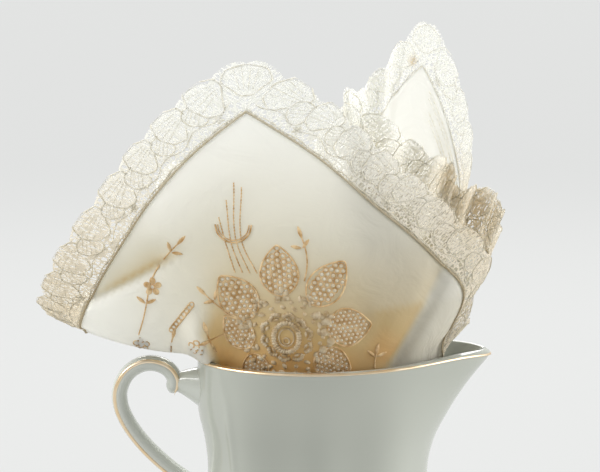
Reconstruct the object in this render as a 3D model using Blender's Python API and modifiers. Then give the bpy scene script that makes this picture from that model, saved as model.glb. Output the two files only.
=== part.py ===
"""Embroidered handkerchief with a lace edging, tucked by its centre into a plain porcelain jug.

The cloth is a square. Its centre lies on the jug's floor, it gathers up through the mouth, and its
four corners fan out above: one in front, one close behind it on the right, one at the back, and one
that leans back on the left. Every length is in millimetres until MM turns it into metres.

Blender 4.5. +Z is up, +X runs to the spout, -X to the handle, -Y to the front. The origin is the
middle of the jug's flat base.
"""

import math

import bmesh
import bpy
import numpy as np
from mathutils import Vector

MM = 0.001

# Cloth, laid flat
SIDE = 290.0
CORNER_ROUND = 8.0
LACE_WIDTH = 15.5
SEAM_GAP = 0.85
CLOTH_THICKNESS = 1.0
LACE_THICKNESS = 1.0
COLUMNS_PER_SIDE = 22
ROWS_TUCKED = 5
ROWS_FREE = 8
ROWS_LACE = 3

# Cloth, tucked into the jug. It starts as a round well on the floor and gathers towards the mouth.
EASE = 1.03
SEAT_GAP = 0.35
MOUTH_HEIGHT = 99.8
MOUTH_LIFT = 3.0
LIFT_FROM, LIFT_TO = 10.0, 45.0
WELL_RADIUS = 21.0
WELL_POWER = 0.7
GATHER_POWER = 0.8
CLIMB_POWER = 1.35
GATHER_FROM, GATHER_TO = 0.15, 0.9
BEND_RADIUS = 5.0

# Jug
RIM_HEIGHT = 97.0
WALL = 3.0
SPOUT_REACH = 19.5
SPOUT_WIDTH_DEG = 17.0
SPOUT_DEPTH = 15.0
SPOUT_FALL_POWER = 1.3
SPOUT_RISE = 4.0
SPOUT_DIP = 0.55
LOBES = 8
LOBE_DEPTH = 0.7
RIM_ROUND = 1.2
JUG_COLUMNS = 48

# Handle
HANDLE_RADIUS = 2.8
HANDLE_WIDENING = 1.45
HANDLE_SIDES = 3
LUG_RADIUS = 4.2

# Outer wall of the jug: height, half length along X, half depth along Y as a share of it
JUG_WALL = (
    ("height", "half_length", "depth_share"),
    (0.0, 27.0, 0.90),
    (3.0, 28.0, 0.90),
    (8.0, 33.5, 0.89),
    (16.0, 39.5, 0.88),
    (27.0, 42.2, 0.86),
    (38.0, 41.0, 0.85),
    (48.0, 38.8, 0.84),
    (58.0, 38.2, 0.82),
    (68.0, 39.4, 0.80),
    (77.0, 41.5, 0.77),
    (84.0, 42.2, 0.75),
    (91.0, 42.0, 0.74),
    (97.0, 42.0, 0.74),
)

# Middle of the handle's bow, from its inner curl over the top and down to the belly, and of the
# lug that carries the curl. swell: share of the bar's radius.
HANDLE_BOW = (
    ("x", "z", "swell"),
    (-51.5, 84.0, 1.0),
    (-50.4, 88.6, 1.0),
    (-52.6, 92.4, 1.0),
    (-57.0, 94.4, 1.0),
    (-62.0, 94.1, 1.0),
    (-66.8, 91.0, 1.0),
    (-69.7, 85.4, 1.0),
    (-69.6, 79.4, 1.0),
    (-67.2, 73.4, 1.0),
    (-63.2, 67.4, 1.0),
    (-58.2, 61.8, 1.0),
    (-52.5, 56.6, 1.0),
    (-46.5, 52.2, 1.0),
    (-41.0, 49.6, 1.0),
    (-37.0, 49.0, 1.0),
)
LUG = (
    ("x", "z", "swell"),
    (-51.2, 87.4, 0.75),
    (-46.5, 87.2, 1.0),
    (-40.5, 87.0, 1.5),
)

# How the cloth hangs. around: place on the cloth's outline, 0 at the front corner, 1 at the right
# one, 2 at the back one, 3 at the left one. edge: where that point of the outline is. mouth: where
# the cloth below it leaves the jug. bow: how far it swells between the two.
DRAPE = (
    ("around", "edge_x", "edge_y", "edge_z", "mouth_x", "mouth_y", "bow_y", "bow_z"),
    (0.00, -24.0, -21.0, 204.5, -24.0, -18.5, -5.0, 0.0),
    (0.10, 3.4, -23.0, 190.0, -10.5, -23.5, -5.0, 0.0),
    (0.20, 24.0, -22.0, 172.0, 3.0, -24.5, -5.0, 0.0),
    (0.30, 45.0, -17.5, 153.0, 19.5, -22.0, -4.0, 0.0),
    (0.38, 60.0, -11.0, 134.0, 34.0, -17.0, -3.0, 0.0),
    (0.43, 55.5, -9.5, 121.0, 40.0, -13.5, -1.0, 0.0),
    (0.49, 49.5, -8.5, 109.0, 45.5, -10.0, 0.0, 0.0),
    (0.56, 43.5, -3.5, 113.0, 42.0, -4.0, 0.0, 0.0),
    (0.66, 35.0, -7.5, 131.0, 35.0, -7.5, 0.0, 0.0),
    (0.80, 24.0, -12.5, 162.0, 25.0, -11.5, 0.0, 0.0),
    (0.90, 16.0, -15.5, 180.0, 19.0, -13.0, 0.0, 0.0),
    (1.00, 9.9, -12.5, 195.0, 15.0, -10.0, 1.0, 0.0),
    (1.10, 32.0, -7.5, 175.5, 20.0, -5.5, 1.0, 0.0),
    (1.20, 47.7, -4.0, 166.0, 28.0, -4.0, 1.0, 0.0),
    (1.28, 46.5, -1.0, 159.0, 34.0, -1.2, 0.0, 0.0),
    (1.38, 59.8, 2.0, 157.0, 39.5, 1.4, 0.0, -1.0),
    (1.46, 65.1, 6.5, 150.0, 44.0, 3.4, 0.0, -2.0),
    (1.56, 61.8, 10.5, 139.0, 45.5, 6.2, 0.0, -1.0),
    (1.66, 57.0, 18.0, 131.0, 44.5, 9.2, 0.0, 0.0),
    (1.75, 54.5, 27.0, 147.0, 41.5, 12.0, 0.0, 0.0),
    (1.82, 57.1, 35.0, 167.0, 38.5, 14.0, 2.0, 0.0),
    (1.90, 54.2, 42.0, 187.0, 34.5, 16.5, 3.0, 0.0),
    (2.00, 41.3, 46.0, 214.0, 27.0, 20.0, 4.0, 0.0),
    (2.10, 24.0, 50.0, 196.0, 18.0, 22.5, 5.0, 0.0),
    (2.20, 9.9, 54.0, 180.0, 9.0, 24.0, 6.0, 0.0),
    (2.35, -6.0, 62.0, 160.0, -2.0, 24.5, 7.0, 0.0),
    (2.55, -22.0, 68.0, 146.0, -13.0, 23.0, 6.0, 0.0),
    (2.72, -33.0, 66.0, 138.0, -20.0, 20.0, 4.0, 0.0),
    (2.88, -44.0, 58.0, 148.0, -25.0, 16.5, 2.0, 0.0),
    (3.00, -55.0, 48.0, 162.0, -28.5, 13.0, 0.0, 0.0),
    (3.14, -64.0, 40.0, 141.0, -32.0, 8.5, 0.0, 0.0),
    (3.30, -75.0, 29.0, 124.0, -34.5, 3.5, 0.0, -2.0),
    (3.43, -87.0, 17.0, 114.0, -35.8, -0.5, 0.0, -4.0),
    (3.54, -96.0, 4.0, 113.5, -36.2, -4.0, 0.0, -5.0),
    (3.62, -97.7, -6.5, 119.0, -35.8, -7.5, 0.0, -5.5),
    (3.70, -91.0, -11.0, 134.5, -34.8, -10.0, -3.0, -3.0),
    (3.80, -72.5, -15.0, 161.5, -32.5, -12.8, -5.0, 0.0),
    (3.90, -51.5, -18.5, 186.0, -29.0, -15.6, -5.0, 0.0),
)


def columns(table):
    """A table's named columns, each as an array."""
    names, rows = table[0], np.array(table[1:])
    return {name: rows[:, i] for i, name in enumerate(names)}


def smooth_step(low, high, value):
    share = np.clip((value - low) / (high - low), 0.0, 1.0)
    return share * share * (3.0 - 2.0 * share)


def smooth_curve(at, known_at, known, period=None):
    """A smooth curve through the known values, read at the places in at. period closes it."""
    known_at, known = np.asarray(known_at, float), np.asarray(known, float)
    if period:
        at = np.mod(at, period)
        known_at = np.concatenate([known_at[-2:] - period, known_at, known_at[:2] + period])
        known = np.concatenate([known[-2:], known, known[:2]])
    slope = np.gradient(known, known_at)
    left = np.clip(np.searchsorted(known_at, at, side="right") - 1, 0, len(known_at) - 2)
    span = known_at[left + 1] - known_at[left]
    share = (at - known_at[left]) / span
    rise, fall = share**3 - 2 * share**2 + share, share**3 - share**2
    blend = share * share * (3.0 - 2.0 * share)
    return (
        known[left] * (1.0 - blend)
        + known[left + 1] * blend
        + span * (rise * slope[left] + fall * slope[left + 1])
    )


def reach_of_outline(around):
    """How far the flat square's outline, with its rounded corners, lies from its centre."""
    along = np.mod(around, 1.0)
    square = SIDE / math.sqrt(2.0) * np.hypot(1.0 - along, along)
    corner = np.minimum(along, 1.0 - along) * SIDE
    return square - (math.sqrt(2.0) - 1.0) * CORNER_ROUND * np.exp(-corner / CORNER_ROUND)


def hang():
    """The drape's columns, with the cloth's direction above the mouth and the length tucked away."""
    rows = columns(DRAPE)
    rows["mouth_z"] = MOUTH_HEIGHT + MOUTH_LIFT * smooth_step(LIFT_FROM, LIFT_TO, rows["mouth_x"])
    free = [rows["edge_" + axis] - rows["mouth_" + axis] for axis in "xyz"]
    length = np.sqrt(sum(part**2 for part in free)) * EASE
    for axis, part in zip("xyz", free):
        rows["lead_" + axis] = part / length
    rows["tucked"] = reach_of_outline(rows["around"]) - length
    return rows


HUNG = hang()


def hung(name, around):
    return smooth_curve(around, HUNG["around"], HUNG[name], period=4.0)


def cloth_point(around, from_centre):
    """Where the cloth's flat point lies: around its outline and from_centre millimetres out."""
    mouth = np.array([hung("mouth_" + axis, around) for axis in "xyz"])
    lead = np.array([hung("lead_" + axis, around) for axis in "xyz"])
    tucked = hung("tucked", around)
    outline = reach_of_outline(around)

    beyond = from_centre - tucked
    share = np.clip(beyond / (outline - tucked), 0.0, 1.0)
    swell = 4.0 * share * (1.0 - share)
    free = mouth + lead * beyond
    free[1] += swell * hung("bow_y", around)
    free[2] += swell * hung("bow_z", around)

    depth = np.clip(from_centre / tucked, 0.0, 1.3)
    turn = (around - 1.0) * math.pi / 2.0
    well = WELL_RADIUS * depth**WELL_POWER * np.array([np.cos(turn), np.sin(turn)])
    gathered = mouth[:2] * depth**GATHER_POWER
    upper = smooth_step(GATHER_FROM, GATHER_TO, depth)
    bottom = WALL + SEAT_GAP + CLOTH_THICKNESS / 2.0
    inside = np.empty_like(free)
    inside[:2] = well * (1.0 - upper) + gathered * upper
    inside[2] = bottom + (mouth[2] - bottom) * depth**CLIMB_POWER

    out = smooth_step(-BEND_RADIUS, BEND_RADIUS, beyond)
    return inside * (1.0 - out) + free * out


def material(name, colour, roughness, metallic=0.0):
    made = bpy.data.materials.new(name)
    made.use_nodes = True
    shader = made.node_tree.nodes["Principled BSDF"]
    shader.inputs["Base Color"].default_value = (*colour, 1.0)
    shader.inputs["Roughness"].default_value = roughness
    shader.inputs["Metallic"].default_value = metallic
    return made


def new_object(name, bm, collection, look=None):
    mesh = bpy.data.meshes.new(name)
    bm.to_mesh(mesh)
    bm.free()
    obj = bpy.data.objects.new(name, mesh)
    collection.objects.link(obj)
    if look:
        mesh.materials.append(look)
    mesh.shade_smooth()
    return obj


def wrapped_grid(around_count, row_count, place):
    """A grid wrapped round into a ring or a bowl. place gives each row's points all the way round."""
    bm = bmesh.new()
    bmesh.ops.create_grid(bm, x_segments=around_count, y_segments=row_count, size=0.5)
    turns = np.arange(around_count) / around_count
    rings = [place(turns, row / row_count) for row in range(row_count + 1)]
    for vert in bm.verts:
        column = round((vert.co.x + 0.5) * around_count) % around_count
        row = round((vert.co.y + 0.5) * row_count)
        vert.co = Vector(rings[row][:, column]) * MM
    bmesh.ops.remove_doubles(bm, verts=bm.verts, dist=1e-6)
    return bm


def solidify(obj, thickness, offset):
    wall = obj.modifiers.new("thickness", "SOLIDIFY")
    wall.thickness = thickness * MM
    wall.offset = offset
    return wall


def ground_cloth(collection, look):
    """The woven square inside the lace, its rolled hem included."""
    row_count = ROWS_TUCKED + ROWS_FREE
    hem = 1.0 - (LACE_WIDTH + SEAM_GAP) / (SIDE / 2.0)

    def row_of_points(turns, share):
        around = 4.0 * turns
        row = share * row_count
        outer = hem * reach_of_outline(around)
        mouth = np.minimum(hung("tucked", around), outer - ROWS_FREE)
        if row <= ROWS_TUCKED:
            return cloth_point(around, mouth * row / ROWS_TUCKED)
        return cloth_point(around, mouth + (outer - mouth) * (row - ROWS_TUCKED) / ROWS_FREE)

    bm = wrapped_grid(4 * COLUMNS_PER_SIDE, row_count, row_of_points)
    bmesh.ops.recalc_face_normals(bm, faces=bm.faces)
    cloth = new_object("handkerchief", bm, collection, look)
    solidify(cloth, CLOTH_THICKNESS, 0.0)
    return cloth


def lace_edging(collection, look):
    """The mitred lace that is sewn round the ground cloth."""
    inner = 1.0 - LACE_WIDTH / (SIDE / 2.0)

    def row_of_points(turns, share):
        around = 4.0 * turns
        return cloth_point(around, (inner + (1.0 - inner) * share) * reach_of_outline(around))

    bm = wrapped_grid(4 * COLUMNS_PER_SIDE, ROWS_LACE, row_of_points)
    bmesh.ops.recalc_face_normals(bm, faces=bm.faces)
    lace = new_object("lace_edging", bm, collection, look)
    solidify(lace, LACE_THICKNESS, 0.0)
    return lace


def spout_share(angle):
    """1 at the spout, falling off to both sides."""
    off = np.abs(np.mod(np.degrees(angle) + 180.0, 360.0) - 180.0)
    return 1.0 / (1.0 + (off / SPOUT_WIDTH_DEG) ** 2)


def jug_ring(angle, height):
    """One ring of the jug's outer wall. It rises beside the spout and dips again at its tip."""
    wall = columns(JUG_WALL)
    length = smooth_curve(np.array([height]), wall["height"], wall["half_length"])[0]
    depth = length * smooth_curve(np.array([height]), wall["height"], wall["depth_share"])[0]
    spout = spout_share(angle)
    radius = 1.0 / np.hypot(np.cos(angle) / length, np.sin(angle) / depth)
    flare = math.exp(-(((RIM_HEIGHT - height) / SPOUT_DEPTH) ** SPOUT_FALL_POWER))
    belly = math.sin(math.pi * height / RIM_HEIGHT)
    radius = radius + SPOUT_REACH * flare * spout + LOBE_DEPTH * belly * np.cos(LOBES * angle)
    rise = SPOUT_RISE * flare * (spout**0.5 - SPOUT_DIP * spout**3)
    return np.array([radius * np.cos(angle), radius * np.sin(angle), height + rise])


def handle_bar(name, route, radius, collection):
    """A closed bar along a route in the XZ plane, wider across than it is thick."""
    curve = bpy.data.curves.new(name, "CURVE")
    curve.dimensions = "3D"
    curve.bevel_depth = radius * MM
    curve.bevel_resolution = HANDLE_SIDES
    curve.use_fill_caps = True
    curve.resolution_u = 3
    spline = curve.splines.new("BEZIER")
    spline.bezier_points.add(len(route) - 2)
    for knot, (x, z, swell) in zip(spline.bezier_points, route[1:]):
        knot.co = Vector((x, 0.0, z)) * MM
        knot.radius = swell
        knot.handle_left_type = knot.handle_right_type = "AUTO"
    guide = bpy.data.objects.new(name + "_guide", curve)
    collection.objects.link(guide)
    graph = bpy.context.evaluated_depsgraph_get()
    mesh = bpy.data.meshes.new_from_object(guide.evaluated_get(graph))
    bpy.data.objects.remove(guide)
    bm = bmesh.new()
    bm.from_mesh(mesh)
    bpy.data.meshes.remove(mesh)
    bmesh.ops.remove_doubles(bm, verts=bm.verts, dist=1e-6)
    bmesh.ops.scale(bm, vec=(1.0, HANDLE_WIDENING, 1.0), verts=bm.verts)
    bmesh.ops.recalc_face_normals(bm, faces=bm.faces)
    bar = new_object(name, bm, collection)
    bar.hide_render = True
    bar.display_type = "WIRE"
    return bar


def jug(collection, cutters, look):
    """The jug in one body: lobed wall with its spout, flat base, and scroll handle."""
    heights = columns(JUG_WALL)["height"]
    row_count = len(heights) - 1
    turn = 2.0 * math.pi

    def ring(turns, share):
        return jug_ring(turn * turns, heights[round(share * row_count)])

    bm = wrapped_grid(JUG_COLUMNS, row_count, ring)
    foot = [edge for edge in bm.edges if all(vert.co.z < 1e-6 for vert in edge.verts)]
    base = bmesh.ops.contextual_create(bm, geom=foot)["faces"][0]
    bmesh.ops.recalc_face_normals(bm, faces=bm.faces)
    base.normal_update()
    if base.normal.z > 0.0:
        bmesh.ops.reverse_faces(bm, faces=bm.faces)
    body = new_object("jug", bm, collection, look)
    thickness = solidify(body, WALL, -1.0)
    thickness.use_even_offset = True
    rounding = body.modifiers.new("rounded rim", "BEVEL")
    rounding.width = RIM_ROUND * MM
    rounding.segments = 2
    rounding.limit_method = "ANGLE"
    rounding.angle_limit = math.radians(50.0)

    for name, route, radius in (
        ("handle_bow", HANDLE_BOW, HANDLE_RADIUS),
        ("handle_lug", LUG, LUG_RADIUS),
    ):
        union = body.modifiers.new(name, "BOOLEAN")
        union.operation = "UNION"
        union.object = handle_bar(name, route, radius, cutters)
    return body


def main():
    for obj in list(bpy.data.objects):
        bpy.data.objects.remove(obj)
    collection = bpy.data.collections.new("embroidered handkerchief in a jug")
    cutters = bpy.data.collections.new("joined shapes")
    for made in (collection, cutters):
        bpy.context.scene.collection.children.link(made)
    ground_cloth(collection, material("fine cotton lawn", (0.83, 0.80, 0.70), 0.85))
    lace_edging(collection, material("cotton lace", (0.86, 0.83, 0.73), 0.8))
    jug(collection, cutters, material("white glazed porcelain", (0.80, 0.82, 0.81), 0.12))


main()
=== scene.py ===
"""Looks for an embroidered handkerchief tucked into a plain porcelain jug.

The cloth is one square of lawn with a machine-lace edging. It is laid on the drape of the frame's
own solids, with the gathers and creases that a real sheet takes up between them. Stitches and lace
threads are modelled lying flat at their real size and then laid on the draped cloth.

Lengths are in millimetres until a mesh is made, where MM turns them into metres. +Z is up, +X runs
to the spout and -Y to the front.
"""

import math

import bpy
import numpy as np
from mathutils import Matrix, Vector
from mathutils.kdtree import KDTree


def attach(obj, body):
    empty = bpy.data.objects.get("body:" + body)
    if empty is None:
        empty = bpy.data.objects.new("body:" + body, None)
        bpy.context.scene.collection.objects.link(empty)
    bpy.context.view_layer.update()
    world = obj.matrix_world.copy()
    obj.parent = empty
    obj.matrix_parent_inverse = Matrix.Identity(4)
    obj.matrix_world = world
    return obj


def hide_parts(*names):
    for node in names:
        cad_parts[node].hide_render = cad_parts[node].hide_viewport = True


MM = 0.001
TURN = 2.0 * math.pi

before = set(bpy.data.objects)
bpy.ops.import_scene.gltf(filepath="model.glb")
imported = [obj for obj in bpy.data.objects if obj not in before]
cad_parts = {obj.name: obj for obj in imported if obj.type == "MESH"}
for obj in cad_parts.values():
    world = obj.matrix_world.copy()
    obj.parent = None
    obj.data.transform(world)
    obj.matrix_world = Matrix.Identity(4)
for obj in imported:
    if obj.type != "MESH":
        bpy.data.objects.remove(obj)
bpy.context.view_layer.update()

# Cloth, laid flat: its side with the lace, and the lace's width
SIDE = 290.0
HALF_DIAGONAL = SIDE / math.sqrt(2.0)
CORNER_ROUND = 8.0
LACE_WIDTH = 15.5
HEADING = LACE_WIDTH + 0.4
CLOTH_THICKNESS = 0.3

# Cloth, tucked into the jug
EASE = 1.03
SEAT_GAP = 0.35
MOUTH_HEIGHT = 99.8
MOUTH_LIFT = 3.0
LIFT_FROM, LIFT_TO = 10.0, 45.0
WELL_RADIUS = 21.0
WELL_POWER = 0.7
GATHER_POWER = 0.8
CLIMB_POWER = 1.35
GATHER_FROM, GATHER_TO = 0.15, 0.9
BEND_RADIUS = 5.0

# Jug
RIM_HEIGHT = 97.0
WALL = 3.0
SPOUT_REACH = 19.5
SPOUT_WIDTH_DEG = 17.0
SPOUT_DEPTH = 15.0
SPOUT_FALL_POWER = 1.3
SPOUT_RISE = 4.0
SPOUT_DIP = 0.55
LOBES = 8
LOBE_DEPTH = 0.7
RIB_DEG = 144.0
RIB_WIDTH_DEG = 2.6
RIB_HEIGHT = 0.55
RIB_LEAN_DEG = 8.0
RIB_LEAN_FROM = 80.0
RIM_ROUND = 1.2
JUG_COLUMNS = 288
JUG_ROWS = 40

# How the cloth hangs. around: place on the cloth's outline, 0 at the front corner, 1 at the right
# one, 2 at the back one, 3 at the left one. edge: where that point of the outline is. mouth: where
# the cloth below it leaves the jug. bow: how far it swells between the two.
DRAPE = (
    ("around", "edge_x", "edge_y", "edge_z", "mouth_x", "mouth_y", "bow_y", "bow_z"),
    (0.00, -24.0, -21.0, 204.5, -24.0, -18.5, -5.0, 0.0),
    (0.10, 3.4, -23.0, 190.0, -10.5, -23.5, -5.0, 0.0),
    (0.20, 24.0, -22.0, 172.0, 3.0, -24.5, -5.0, 0.0),
    (0.30, 45.0, -17.5, 153.0, 19.5, -22.0, -4.0, 0.0),
    (0.38, 60.0, -11.0, 134.0, 34.0, -17.0, -3.0, 0.0),
    (0.43, 55.5, -9.5, 121.0, 40.0, -13.5, -1.0, 0.0),
    (0.49, 49.5, -8.5, 109.0, 45.5, -10.0, 0.0, 0.0),
    (0.56, 43.5, -3.5, 113.0, 42.0, -4.0, 0.0, 0.0),
    (0.66, 35.0, -7.5, 131.0, 35.0, -7.5, 0.0, 0.0),
    (0.80, 24.0, -12.5, 162.0, 25.0, -11.5, 0.0, 0.0),
    (0.90, 16.0, -15.5, 180.0, 19.0, -13.0, 0.0, 0.0),
    (1.00, 9.9, -12.5, 195.0, 15.0, -10.0, 1.0, 0.0),
    (1.10, 32.0, -7.5, 175.5, 20.0, -5.5, 1.0, 0.0),
    (1.20, 47.7, -4.0, 166.0, 28.0, -4.0, 1.0, 0.0),
    (1.28, 46.5, -1.0, 159.0, 34.0, -1.2, 0.0, 0.0),
    (1.38, 59.8, 2.0, 157.0, 39.5, 1.4, 0.0, -1.0),
    (1.46, 65.1, 6.5, 150.0, 44.0, 3.4, 0.0, -2.0),
    (1.56, 61.8, 10.5, 139.0, 45.5, 6.2, 0.0, -1.0),
    (1.66, 57.0, 18.0, 131.0, 44.5, 9.2, 0.0, 0.0),
    (1.75, 54.5, 27.0, 147.0, 41.5, 12.0, 0.0, 0.0),
    (1.82, 57.1, 35.0, 167.0, 38.5, 14.0, 2.0, 0.0),
    (1.90, 54.2, 42.0, 187.0, 34.5, 16.5, 3.0, 0.0),
    (2.00, 41.3, 46.0, 214.0, 27.0, 20.0, 4.0, 0.0),
    (2.10, 24.0, 50.0, 196.0, 18.0, 22.5, 5.0, 0.0),
    (2.20, 9.9, 54.0, 180.0, 9.0, 24.0, 6.0, 0.0),
    (2.35, -6.0, 62.0, 160.0, -2.0, 24.5, 7.0, 0.0),
    (2.55, -22.0, 68.0, 146.0, -13.0, 23.0, 6.0, 0.0),
    (2.72, -33.0, 66.0, 138.0, -20.0, 20.0, 4.0, 0.0),
    (2.88, -44.0, 58.0, 148.0, -25.0, 16.5, 2.0, 0.0),
    (3.00, -55.0, 48.0, 162.0, -28.5, 13.0, 0.0, 0.0),
    (3.14, -64.0, 40.0, 141.0, -32.0, 8.5, 0.0, 0.0),
    (3.30, -75.0, 29.0, 124.0, -34.5, 3.5, 0.0, -2.0),
    (3.43, -87.0, 17.0, 114.0, -35.8, -0.5, 0.0, -4.0),
    (3.54, -96.0, 4.0, 113.5, -36.2, -4.0, 0.0, -5.0),
    (3.62, -97.7, -6.5, 119.0, -35.8, -7.5, 0.0, -5.5),
    (3.70, -91.0, -11.0, 134.5, -34.8, -10.0, -3.0, -3.0),
    (3.80, -72.5, -15.0, 161.5, -32.5, -12.8, -5.0, 0.0),
    (3.90, -51.5, -18.5, 186.0, -29.0, -15.6, -5.0, 0.0),
)

# Outer wall of the jug: height, half length along X, half depth along Y as a share of it
JUG_WALL = (
    ("height", "half_length", "depth_share"),
    (0.0, 27.0, 0.90),
    (3.0, 28.0, 0.90),
    (8.0, 33.5, 0.89),
    (16.0, 39.5, 0.88),
    (27.0, 42.2, 0.86),
    (38.0, 41.0, 0.85),
    (48.0, 38.8, 0.84),
    (58.0, 38.2, 0.82),
    (68.0, 39.4, 0.80),
    (77.0, 41.5, 0.77),
    (84.0, 42.2, 0.75),
    (91.0, 42.0, 0.74),
    (97.0, 42.0, 0.74),
)

# Middle of the handle's bow, from its inner curl over the top and down to the belly, and of the
# lug that carries the curl. swell: share of the bar's radius.
HANDLE_BOW = (
    ("x", "z", "swell"),
    (-51.5, 84.0, 1.0),
    (-50.4, 88.6, 1.0),
    (-52.6, 92.4, 1.0),
    (-57.0, 94.4, 1.0),
    (-62.0, 94.1, 1.0),
    (-66.8, 91.0, 1.0),
    (-69.7, 85.4, 1.0),
    (-69.6, 79.4, 1.0),
    (-67.2, 73.4, 1.0),
    (-63.2, 67.4, 1.0),
    (-58.2, 61.8, 1.0),
    (-52.5, 56.6, 1.0),
    (-46.5, 52.2, 1.0),
    (-41.0, 49.6, 1.0),
    (-37.0, 49.0, 1.0),
)
LUG = (
    ("x", "z", "swell"),
    (-51.2, 87.6, 0.62),
    (-47.6, 87.6, 1.0),
    (-44.2, 87.2, 1.35),
    (-40.0, 86.4, 1.8),
)
HANDLE_RADIUS = 2.8
HANDLE_WIDENING = 1.45
LUG_RADIUS = 4.2
LUG_WIDENING = 1.1
GOLD_OUT, GOLD_ACROSS, GOLD_BEAD = 1.2, 3.2, 0.85
GOLD_STEPS, GOLD_END = 120, 112

# Section of the gold on the rim: down from its top and out from the edge
RIM_COLUMNS = 360
GOLD_SECTION = (
    ("drop", "out"),
    (0.3, -2.5),
    (0.0, -2.1),
    (-0.05, -1.7),
    (-0.05, -1.1),
    (-0.02, -0.6),
    (0.1, -0.26),
    (0.36, -0.03),
    (0.75, 0.08),
    (0.85, -0.3),
)


# Curves and tables


def columns(table):
    """A table's named columns, each as an array."""
    names, rows = table[0], np.array(table[1:])
    return {name: rows[:, i] for i, name in enumerate(names)}


def smooth_step(low, high, value):
    share = np.clip((value - low) / (high - low), 0.0, 1.0)
    return share * share * (3.0 - 2.0 * share)


def smooth_curve(at, known_at, known, period=None):
    """A smooth curve through the known values, read at the places in at. period closes it."""
    known_at, known = np.asarray(known_at, float), np.asarray(known, float)
    if period:
        at = np.mod(at, period)
        known_at = np.concatenate([known_at[-2:] - period, known_at, known_at[:2] + period])
        known = np.concatenate([known[-2:], known, known[:2]])
    slope = np.gradient(known, known_at)
    left = np.clip(np.searchsorted(known_at, at, side="right") - 1, 0, len(known_at) - 2)
    span = known_at[left + 1] - known_at[left]
    share = (at - known_at[left]) / span
    rise, fall = share**3 - 2 * share**2 + share, share**3 - share**2
    blend = share * share * (3.0 - 2.0 * share)
    return (
        known[left] * (1.0 - blend)
        + known[left + 1] * blend
        + span * (rise * slope[left] + fall * slope[left + 1])
    )


# The drape, as in the frame's solids


def reach_of_outline(around):
    """How far the flat square's outline, with its rounded corners, lies from its centre."""
    along = np.mod(around, 1.0)
    square = HALF_DIAGONAL * np.hypot(1.0 - along, along)
    corner = np.minimum(along, 1.0 - along) * SIDE
    return square - (math.sqrt(2.0) - 1.0) * CORNER_ROUND * np.exp(-corner / CORNER_ROUND)


def hang():
    """The drape's columns, and the cloth's direction above the mouth and its tucked length."""
    rows = columns(DRAPE)
    rows["mouth_z"] = MOUTH_HEIGHT + MOUTH_LIFT * smooth_step(LIFT_FROM, LIFT_TO, rows["mouth_x"])
    free = [rows["edge_" + axis] - rows["mouth_" + axis] for axis in "xyz"]
    length = np.sqrt(sum(part**2 for part in free)) * EASE
    for axis, part in zip("xyz", free):
        rows["lead_" + axis] = part / length
    rows["tucked"] = reach_of_outline(rows["around"]) - length
    return rows


HUNG = hang()


def hung(name, around):
    return smooth_curve(around, HUNG["around"], HUNG[name], period=4.0)


def cloth_point(around, from_centre):
    """Where the cloth's flat point lies: around its outline and from_centre millimetres out."""
    mouth = np.array([hung("mouth_" + axis, around) for axis in "xyz"])
    lead = np.array([hung("lead_" + axis, around) for axis in "xyz"])
    tucked = hung("tucked", around)
    outline = reach_of_outline(around)

    beyond = from_centre - tucked
    share = np.clip(beyond / (outline - tucked), 0.0, 1.0)
    swell = 4.0 * share * (1.0 - share)
    free = mouth + lead * beyond
    free[1] += swell * hung("bow_y", around)
    free[2] += swell * hung("bow_z", around)

    depth = np.clip(from_centre / tucked, 0.0, 1.3)
    turn = (around - 1.0) * math.pi / 2.0
    well = WELL_RADIUS * depth**WELL_POWER * np.array([np.cos(turn), np.sin(turn)])
    gathered = mouth[:2] * depth**GATHER_POWER
    upper = smooth_step(GATHER_FROM, GATHER_TO, depth)
    bottom = WALL + SEAT_GAP + 0.5
    inside = np.empty_like(free)
    inside[:2] = well * (1.0 - upper) + gathered * upper
    inside[2] = bottom + (mouth[2] - bottom) * depth**CLIMB_POWER

    out = smooth_step(-BEND_RADIUS, BEND_RADIUS, beyond)
    return inside * (1.0 - out) + free * out


# Gathers and creases. The cloth is longer than the way round its drape, and the spare length goes
# into soft waves across it. The front of the cloth has none, but listed creases.
AROUND = 1920
OUTWARD = 240
GATHERS_PER_SIDE = 13
GATHER_SHARE = 0.24
SLACK_START = 0.1
SLACK_REACH = 48
GATHER_LIMIT = 4.2
INWARD_SHARE = 0.6
FRONT_STARTS = (3.5, 3.62)
FRONT_ENDS = (0.36, 0.44)

# Creases of the front: left and right end as seen from the front in millimetres from the flower,
# half width on the upper and on the lower side, and height above the cloth, negative below it.
CREASES = (
    ("from_x", "from_z", "to_x", "to_z", "upper", "lower", "height"),
    (-74.0, 6.0, -46.0, 21.6, 8.0, 1.3, -3.0),
    (-40.0, 21.0, -16.0, 38.0, 10.0, 6.0, -0.9),
    (36.9, -11.5, 52.5, 19.0, 4.5, 2.6, -2.2),
    (30.0, 9.5, 46.0, 12.0, 3.0, 4.5, 0.9),
    (-28.6, 3.0, -23.2, -14.0, 2.2, 4.5, 1.6),
    (-30.5, 2.0, -28.0, -8.0, 5.0, 5.0, 3.6),
    (-40.0, 40.0, -10.0, 62.0, 7.0, 7.0, 0.8),
    (12.0, 56.0, 34.0, 26.0, 8.0, 8.0, -0.8),
)
FLOWER = np.array([-10.5, 109.1])


def unit(vectors):
    return vectors / np.maximum(np.linalg.norm(vectors, axis=-1, keepdims=True), 1e-9)


def outward_of(place):
    """The cloth's outer side at each point of the grid."""
    across = np.roll(place, -1, axis=0) - np.roll(place, 1, axis=0)
    along = np.gradient(place, axis=1)
    return unit(np.cross(across, along))


def softened(values, reach):
    """Values of the grid averaged round the cloth over reach columns to each side."""
    total = sum(np.roll(values, shift, axis=0) for shift in range(-reach, reach + 1, 4))
    return total / len(range(-reach, reach + 1, 4))


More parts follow.
